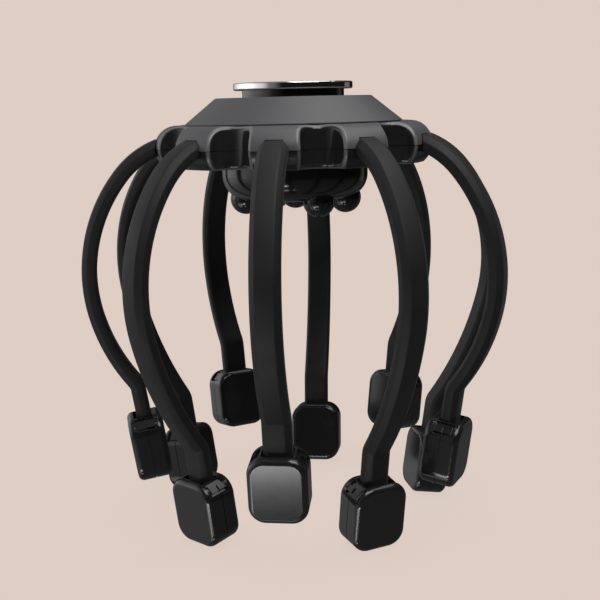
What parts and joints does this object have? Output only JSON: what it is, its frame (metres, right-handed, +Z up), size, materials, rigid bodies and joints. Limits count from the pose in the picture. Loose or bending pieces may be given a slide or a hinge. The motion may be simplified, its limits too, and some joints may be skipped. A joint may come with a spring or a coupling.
{
  "type": "electric scalp massager",
  "caption": "Cordless head massager: a round hub with a push-button disc and a nubbed pod carries a cage of springy arms that end in vibrating claws.",
  "frame": {"origin": "on the ground under the middle of the hub, where the tips of the long arms stand", "axes": "+Z up along the hub's axis, out of the push button; arm 1 points along -Y and the arms are numbered from it towards +X"},
  "size_m": [0.1656, 0.172, 0.1734],
  "materials": {
    "charcoal_shell": "fine matt grain",
    "black_shell": "satin",
    "gloss_black": "polished",
    "nub_black": "polished",
    "silicone": "soft matt",
    "polished_metal": "mirror polish",
    "nylon": "natural",
    "screw_steel": "zinc plated",
    "socket_steel": "drawn",
    "spring_steel": "drawn wire",
    "switch_black": "moulded",
    "board": "solder mask",
    "component_black": "moulded",
    "battery_foil": "foil",
    "lead_insulation": "insulated wire",
    "motor_can": "drawn can",
    "weight_steel": "sintered"
  },
  "bodies": {
    "hub": {"hub_top_cover": "charcoal_shell", "hub_bottom_cover": "black_shell", "arm_clamp_ring": "nylon", "cover_screws": "screw_steel", "charging_socket": "socket_steel", "button_spring": "spring_steel", "power_switch": "switch_black", "control_board": "board", "board_components": "component_black", "board_screws": "screw_steel", "battery_cell": "battery_foil", "lead_wires": "lead_insulation", "pod_cup": "gloss_black", "pod_seal": "silicone", "pod_nubs": "nub_black", "motor_cradle": "nylon", "pod_motor": "motor_can"},
    "button": {"button_disc": "polished_metal", "button_stem": "gloss_black"},
    "weight": {"motor_weight": "weight_steel"},
    "arm_01": {"arm_01_strap": "silicone", "arm_01_claw_outer_shell": "gloss_black", "arm_01_claw_inner_shell": "gloss_black", "arm_01_claw_motor": "motor_can"},
    "arm_02": {"arm_02_strap": "silicone", "arm_02_claw_outer_shell": "gloss_black", "arm_02_claw_inner_shell": "gloss_black", "arm_02_claw_motor": "motor_can"},
    "arm_03": {"arm_03_strap": "silicone", "arm_03_claw_outer_shell": "gloss_black", "arm_03_claw_inner_shell": "gloss_black", "arm_03_claw_motor": "motor_can"},
    "arm_04": {"arm_04_strap": "silicone", "arm_04_claw_outer_shell": "gloss_black", "arm_04_claw_inner_shell": "gloss_black", "arm_04_claw_motor": "motor_can"},
    "arm_05": {"arm_05_strap": "silicone", "arm_05_claw_outer_shell": "gloss_black", "arm_05_claw_inner_shell": "gloss_black", "arm_05_claw_motor": "motor_can"},
    "arm_06": {"arm_06_strap": "silicone", "arm_06_claw_outer_shell": "gloss_black", "arm_06_claw_inner_shell": "gloss_black", "arm_06_claw_motor": "motor_can"},
    "arm_07": {"arm_07_strap": "silicone", "arm_07_claw_outer_shell": "gloss_black", "arm_07_claw_inner_shell": "gloss_black", "arm_07_claw_motor": "motor_can"},
    "arm_08": {"arm_08_strap": "silicone", "arm_08_claw_outer_shell": "gloss_black", "arm_08_claw_inner_shell": "gloss_black", "arm_08_claw_motor": "motor_can"},
    "arm_09": {"arm_09_strap": "silicone", "arm_09_claw_outer_shell": "gloss_black", "arm_09_claw_inner_shell": "gloss_black", "arm_09_claw_motor": "motor_can"},
    "arm_10": {"arm_10_strap": "silicone", "arm_10_claw_outer_shell": "gloss_black", "arm_10_claw_inner_shell": "gloss_black", "arm_10_claw_motor": "motor_can"}
  },
  "joints": [
    {"name": "button_press", "type": "slide", "parent": "hub", "child": "button", "axis": [0, 0, -1], "range_m": [0, 0.0012], "stiffness_N_per_m": 1500, "springref_m": -0.0008, "deforming": ["button_spring"]},
    {"name": "pod_weight_spin", "type": "hinge", "parent": "hub", "child": "weight", "pos_m": [0, 0, 0.13302], "axis": [0, 0, 1], "continuous": true},
    {"name": "arm_01_flex", "type": "hinge", "parent": "hub", "child": "arm_01", "pos_m": [0, -0.0465, 0.14902], "axis": [-1, 0, 0], "range_deg": [-4, 12], "stiffness_Nm_per_rad": 0.8},
    {"name": "arm_02_flex", "type": "hinge", "parent": "hub", "child": "arm_02", "pos_m": [0.02733, -0.03762, 0.14902], "axis": [-0.809, -0.5878, 0], "range_deg": [-4, 12], "stiffness_Nm_per_rad": 0.8},
    {"name": "arm_03_flex", "type": "hinge", "parent": "hub", "child": "arm_03", "pos_m": [0.04422, -0.01437, 0.14902], "axis": [-0.309, -0.9511, 0], "range_deg": [-4, 12], "stiffness_Nm_per_rad": 0.8},
    {"name": "arm_04_flex", "type": "hinge", "parent": "hub", "child": "arm_04", "pos_m": [0.04422, 0.01437, 0.14902], "axis": [0.309, -0.9511, 0], "range_deg": [-4, 12], "stiffness_Nm_per_rad": 0.8},
    {"name": "arm_05_flex", "type": "hinge", "parent": "hub", "child": "arm_05", "pos_m": [0.02733, 0.03762, 0.14902], "axis": [0.809, -0.5878, 0], "range_deg": [-4, 12], "stiffness_Nm_per_rad": 0.8},
    {"name": "arm_06_flex", "type": "hinge", "parent": "hub", "child": "arm_06", "pos_m": [0, 0.0465, 0.14902], "axis": [1, 0, 0], "range_deg": [-4, 12], "stiffness_Nm_per_rad": 0.8},
    {"name": "arm_07_flex", "type": "hinge", "parent": "hub", "child": "arm_07", "pos_m": [-0.02733, 0.03762, 0.14902], "axis": [0.809, 0.5878, 0], "range_deg": [-4, 12], "stiffness_Nm_per_rad": 0.8},
    {"name": "arm_08_flex", "type": "hinge", "parent": "hub", "child": "arm_08", "pos_m": [-0.04422, 0.01437, 0.14902], "axis": [0.309, 0.9511, 0], "range_deg": [-4, 12], "stiffness_Nm_per_rad": 0.8},
    {"name": "arm_09_flex", "type": "hinge", "parent": "hub", "child": "arm_09", "pos_m": [-0.04422, -0.01437, 0.14902], "axis": [-0.309, 0.9511, 0], "range_deg": [-4, 12], "stiffness_Nm_per_rad": 0.8},
    {"name": "arm_10_flex", "type": "hinge", "parent": "hub", "child": "arm_10", "pos_m": [-0.02733, -0.03762, 0.14902], "axis": [-0.809, 0.5878, 0], "range_deg": [-4, 12], "stiffness_Nm_per_rad": 0.8}
  ]
}
